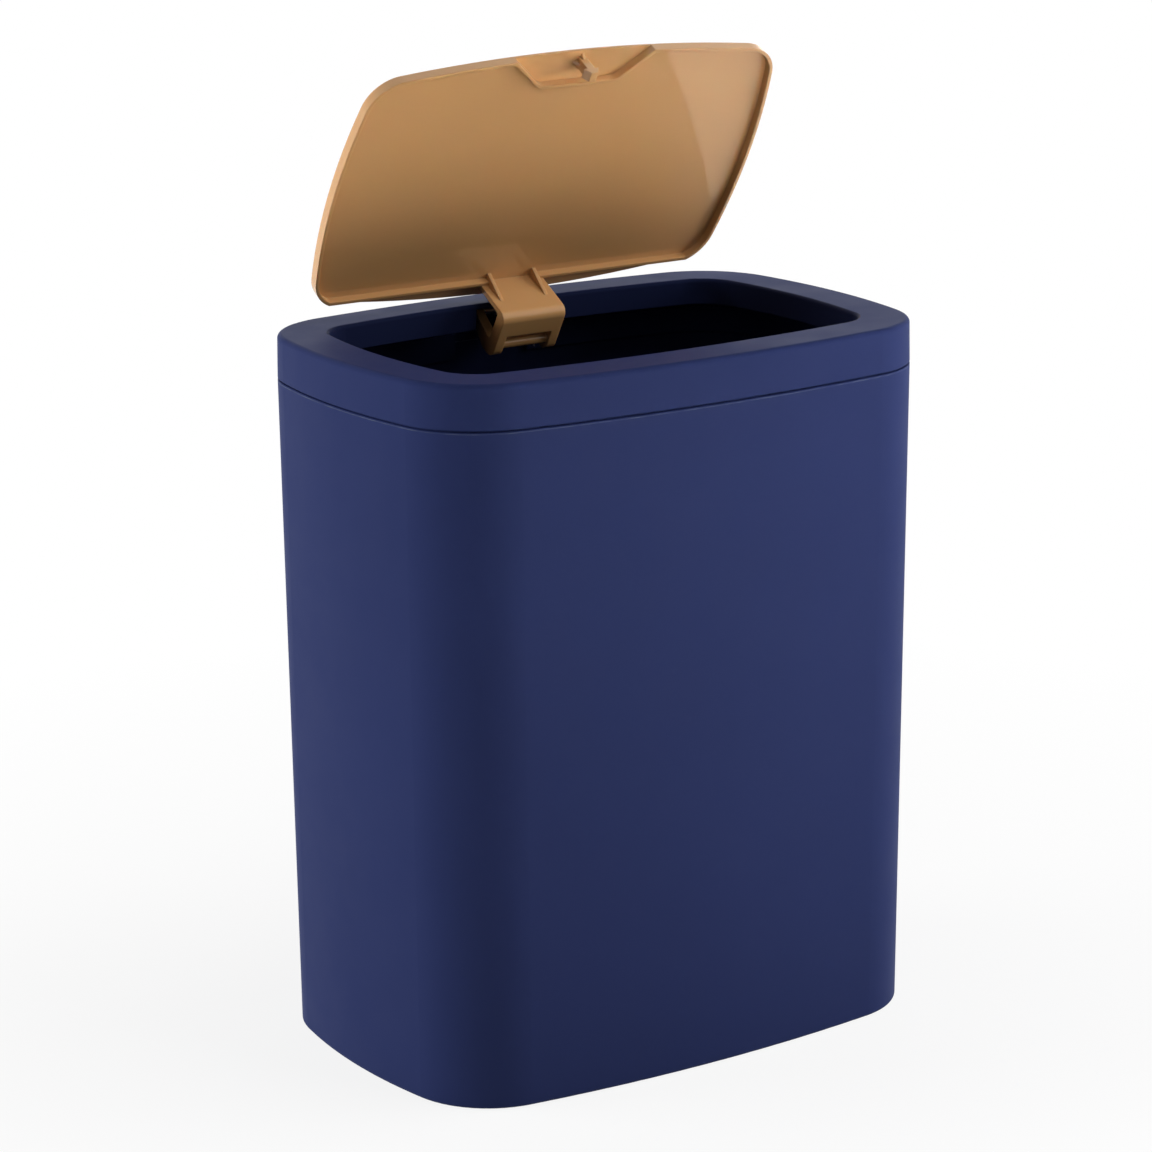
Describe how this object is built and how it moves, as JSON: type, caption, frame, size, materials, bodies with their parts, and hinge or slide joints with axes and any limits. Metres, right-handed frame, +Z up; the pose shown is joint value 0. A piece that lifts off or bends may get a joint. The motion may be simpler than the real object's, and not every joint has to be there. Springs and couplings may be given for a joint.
{
  "type": "bathroom trash can",
  "caption": "Slim rounded-rectangle bathroom bin with a lift-off rim, a sprung press-to-open lid on a gooseneck hinge arm, and a push latch under the front of the rim.",
  "frame": {"origin": "middle of the base, on the floor", "axes": "+X along the wide front, +Y towards the hinge side at the rear, +Z up"},
  "size_m": [0.251, 0.171, 0.4128],
  "materials": {
    "navy_plastic": "fine satin, moulded",
    "champagne_plastic": "semi-gloss champagne",
    "latch_plastic": "satin, moulded",
    "steel": "drawn wire, bright"
  },
  "bodies": {
    "bin": {"body_shell": "navy_plastic"},
    "rim": {"rim_frame": "navy_plastic", "hinge_pin": "steel", "hinge_clip": "steel", "lid_spring": "steel", "latch_housing": "latch_plastic", "latch_cap": "latch_plastic", "latch_spring": "steel", "latch_screws": "steel"},
    "lid": {"lid": "champagne_plastic"},
    "slider": {"latch_slider": "latch_plastic", "latch_jaw_pins": "steel"},
    "jaw_left": {"latch_jaw_left": "latch_plastic"},
    "jaw_right": {"latch_jaw_right": "latch_plastic"}
  },
  "joints": [
    {"name": "rim_lift", "type": "slide", "parent": "bin", "child": "rim", "axis": [0, 0, 1], "range_m": [0, 0.06]},
    {"name": "lid_hinge", "type": "hinge", "parent": "rim", "child": "lid", "pos_m": [0, 0.071, 0.2952], "axis": [-1, 0, 0], "range_deg": [-61, 0], "stiffness_Nm_per_rad": 0.05, "springref_deg": 85.94, "deforming": ["lid_spring"]},
    {"name": "latch_slide", "type": "slide", "parent": "rim", "child": "slider", "axis": [0, 0, 1], "range_m": [-0.003, 0], "stiffness_N_per_m": 300, "springref_m": 0.004, "deforming": ["latch_spring"]},
    {"name": "jaw_left_swing", "type": "hinge", "parent": "slider", "child": "jaw_left", "pos_m": [-0.005, -0.057, 0.2831], "axis": [0, 1, 0], "range_deg": [0, 12.1]},
    {"name": "jaw_right_swing", "type": "hinge", "parent": "slider", "child": "jaw_right", "pos_m": [0.005, -0.057, 0.2831], "axis": [0, 1, 0], "range_deg": [-12.1, 0]}
  ],
  "couplings": [
    {"joint": "jaw_left_swing", "follows": "latch_slide", "rad_per_m": -69.8},
    {"joint": "jaw_right_swing", "follows": "latch_slide", "rad_per_m": 69.8}
  ]
}
